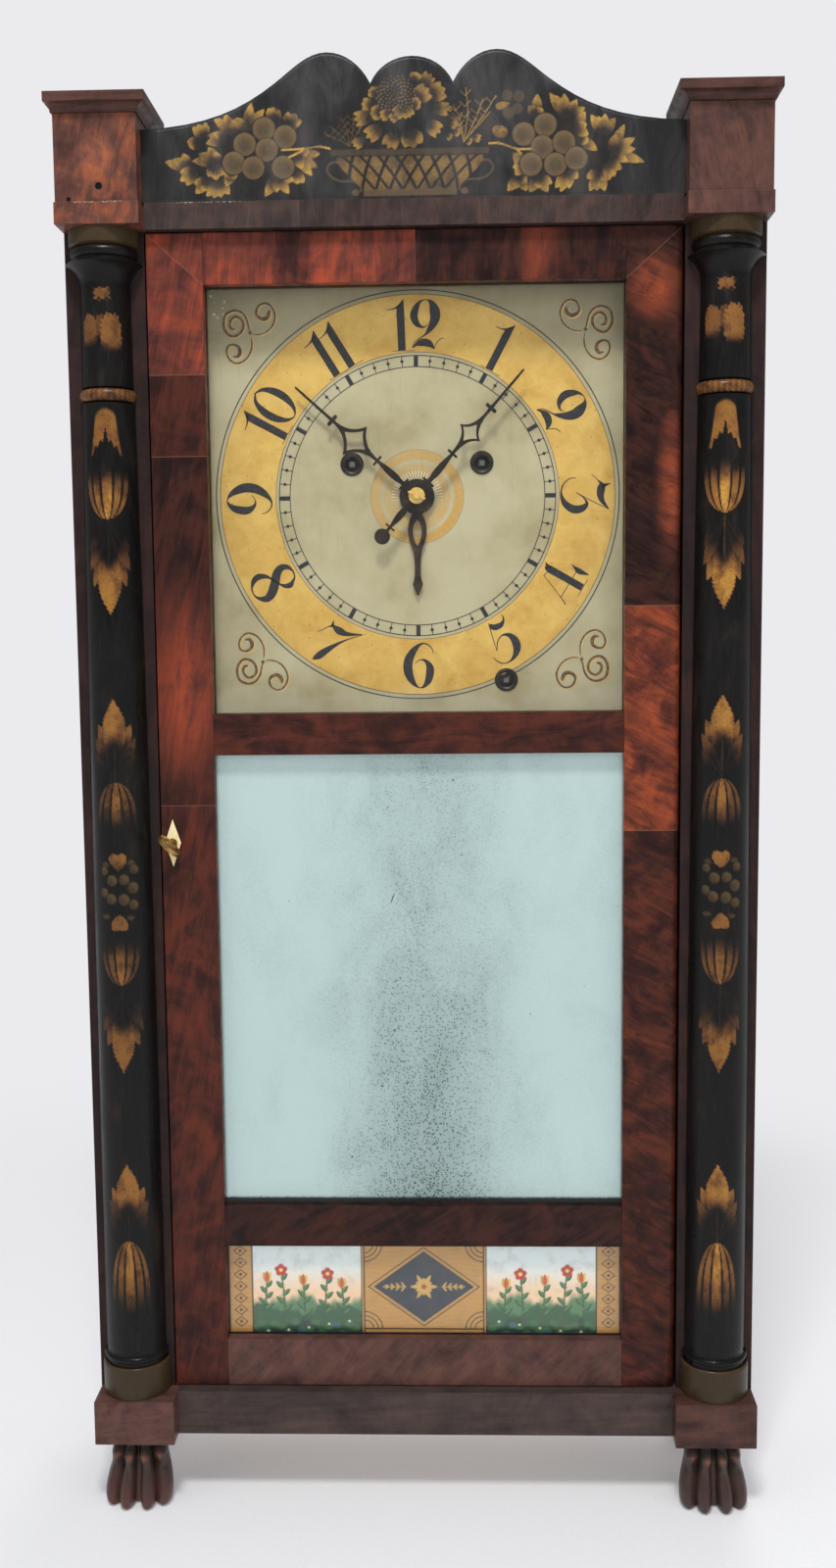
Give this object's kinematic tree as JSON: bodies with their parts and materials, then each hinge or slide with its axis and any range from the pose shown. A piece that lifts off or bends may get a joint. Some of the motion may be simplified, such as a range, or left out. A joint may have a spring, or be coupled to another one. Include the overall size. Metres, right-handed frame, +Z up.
{
  "type": "shelf clock",
  "caption": "Tall half-column and splat shelf clock: mirror door, painted dial, stencilled columns, carved paw feet, weight-driven movement with pendulum and bell.",
  "frame": {"origin": "on the surface that the clock stands on, under the middle of its bounding box", "axes": "+Z up, the dial and door face -Y, +X to the right as seen from the front"},
  "size_m": [0.4444, 0.134, 0.9332],
  "materials": {
    "mahogany": "polished veneer",
    "dark_mahogany": "polished veneer",
    "ebonised_wood": "ebonised, with gilt stencil",
    "carved_walnut": "stained and waxed",
    "pine": "bare",
    "oak": "bare",
    "painted_dial": "painted, with gilt ring",
    "clear_glass": "clear",
    "mirror_glass": "old silvering",
    "painted_glass": "glass painted on its back",
    "brass": "worn",
    "bell_metal": "dull",
    "bone": "polished bone",
    "black_iron": "black",
    "steel": "worn",
    "cast_iron": "rough",
    "cord": "twisted cotton"
  },
  "bodies": {
    "case": {"backboard": "pine", "case_side_left": "dark_mahogany", "case_side_right": "dark_mahogany", "case_top_board": "pine", "case_bottom_board": "pine", "front_stile_left": "dark_mahogany", "front_stile_right": "dark_mahogany", "column_left": "ebonised_wood", "column_right": "ebonised_wood", "base_block_left": "dark_mahogany", "base_block_right": "dark_mahogany", "base_rail": "dark_mahogany", "top_block_left": "mahogany", "top_block_right": "mahogany", "cap_left": "dark_mahogany", "cap_right": "dark_mahogany", "crest_splat": "ebonised_wood", "top_rail": "mahogany", "paw_foot_left": "carved_walnut", "paw_foot_right": "carved_walnut", "rear_feet": "carved_walnut", "dial_board": "painted_dial", "dial_rails": "pine", "front_plate": "oak", "back_plate": "oak", "bell": "bell_metal", "drum_cords": "cord", "weight_cord_left": "cord", "weight_cord_right": "cord"},
    "door": {"door_stile_left": "mahogany", "door_stile_right": "mahogany", "door_rail_top": "mahogany", "door_rail_middle": "mahogany", "door_rail_lower": "mahogany", "door_rail_bottom": "mahogany", "dial_glass": "clear_glass", "mirror_glass": "mirror_glass", "tablet_glass": "painted_glass", "glazing_beads": "dark_mahogany", "hinge_pins": "brass", "lock_case": "brass", "escutcheon": "bone"},
    "key": {"key": "brass"},
    "bolt": {"lock_bolt": "brass"},
    "minute": {"minute_hand": "black_iron", "centre_arbor": "brass"},
    "hour": {"hour_hand": "black_iron"},
    "alarm": {"alarm_hand": "black_iron"},
    "weight_left": {"weight_left": "cast_iron"},
    "weight_right": {"weight_right": "cast_iron"},
    "drum_left": {"winding_drum_left": "pine"},
    "drum_right": {"winding_drum_right": "pine"},
    "pulley_left": {"pulley_left": "pine"},
    "pulley_right": {"pulley_right": "pine"},
    "pendulum": {"pendulum_rod": "steel"},
    "bob": {"pendulum_bob": "brass"},
    "verge": {"verge": "steel"},
    "escape": {"escape_wheel": "brass"},
    "hammer": {"strike_hammer": "steel"},
    "alarm_drum": {"alarm_drum": "pine"}
  },
  "joints": [
    {"name": "door_swing", "type": "hinge", "parent": "case", "child": "door", "pos_m": [0.1626, -0.0341, 0.453], "axis": [0, 0, 1], "range_deg": [0, 95]},
    {"name": "key_turn", "type": "hinge", "parent": "door", "child": "key", "pos_m": [-0.16, -0.039, 0.4457], "axis": [0, 1, 0], "range_deg": [0, 90]},
    {"name": "bolt_slide", "type": "slide", "parent": "door", "child": "bolt", "axis": [-1, 0, 0], "range_m": [0, 0.005]},
    {"name": "minute_turn", "type": "hinge", "parent": "case", "child": "minute", "pos_m": [0, 0, 0.668], "axis": [0, 1, 0], "continuous": true},
    {"name": "hour_turn", "type": "hinge", "parent": "case", "child": "hour", "pos_m": [0, 0, 0.668], "axis": [0, 1, 0], "continuous": true},
    {"name": "alarm_set", "type": "hinge", "parent": "hour", "child": "alarm", "pos_m": [0, 0, 0.668], "axis": [0, 1, 0], "continuous": true},
    {"name": "weight_left_fall", "type": "slide", "parent": "case", "child": "weight_left", "axis": [0, 0, 1], "range_m": [-0.36, 0.16], "deforming": ["weight_cord_left"]},
    {"name": "weight_right_fall", "type": "slide", "parent": "case", "child": "weight_right", "axis": [0, 0, 1], "range_m": [-0.36, 0.16], "deforming": ["weight_cord_right"]},
    {"name": "drum_left_turn", "type": "hinge", "parent": "case", "child": "drum_left", "pos_m": [-0.0422, 0, 0.6894], "axis": [0, 1, 0], "continuous": true},
    {"name": "drum_right_turn", "type": "hinge", "parent": "case", "child": "drum_right", "pos_m": [0.0422, 0, 0.6894], "axis": [0, 1, 0], "continuous": true},
    {"name": "pulley_left_turn", "type": "hinge", "parent": "case", "child": "pulley_left", "pos_m": [-0.17, 0.032, 0.8154], "axis": [0, 1, 0], "continuous": true},
    {"name": "pulley_right_turn", "type": "hinge", "parent": "case", "child": "pulley_right", "pos_m": [0.17, 0.032, 0.8154], "axis": [0, 1, 0], "continuous": true},
    {"name": "pendulum_swing", "type": "hinge", "parent": "case", "child": "pendulum", "pos_m": [-0.014, 0.008, 0.738], "axis": [0, 1, 0], "range_deg": [-4, 4]},
    {"name": "verge_rock", "type": "hinge", "parent": "case", "child": "verge", "pos_m": [-0.014, 0.03, 0.738], "axis": [0, 1, 0], "range_deg": [-4, 4]},
    {"name": "bob_slide", "type": "slide", "parent": "pendulum", "child": "bob", "axis": [0, 0, 1], "range_m": [-0.006, 0.006]},
    {"name": "escape_turn", "type": "hinge", "parent": "case", "child": "escape", "pos_m": [-0.014, 0.03, 0.712], "axis": [0, 1, 0], "continuous": true},
    {"name": "hammer_lift", "type": "hinge", "parent": "case", "child": "hammer", "pos_m": [0.01, 0.03, 0.608], "axis": [0, 1, 0], "range_deg": [0, 18], "stiffness_Nm_per_rad": 0.02, "springref_deg": -11.46},
    {"name": "alarm_wind", "type": "hinge", "parent": "case", "child": "alarm_drum", "pos_m": [0.0576, 0.03, 0.5487], "axis": [0, 1, 0], "continuous": true}
  ],
  "couplings": [
    {"joint": "bolt_slide", "follows": "key_turn", "m_per_rad": 0.0031831},
    {"joint": "hour_turn", "follows": "minute_turn", "ratio": 0.083333},
    {"joint": "drum_left_turn", "follows": "weight_left_fall", "rad_per_m": 84.746},
    {"joint": "drum_right_turn", "follows": "weight_right_fall", "rad_per_m": -84.746},
    {"joint": "pulley_left_turn", "follows": "weight_left_fall", "rad_per_m": 76.923},
    {"joint": "pulley_right_turn", "follows": "weight_right_fall", "rad_per_m": -76.923},
    {"joint": "verge_rock", "follows": "pendulum_swing", "ratio": 1}
  ]
}
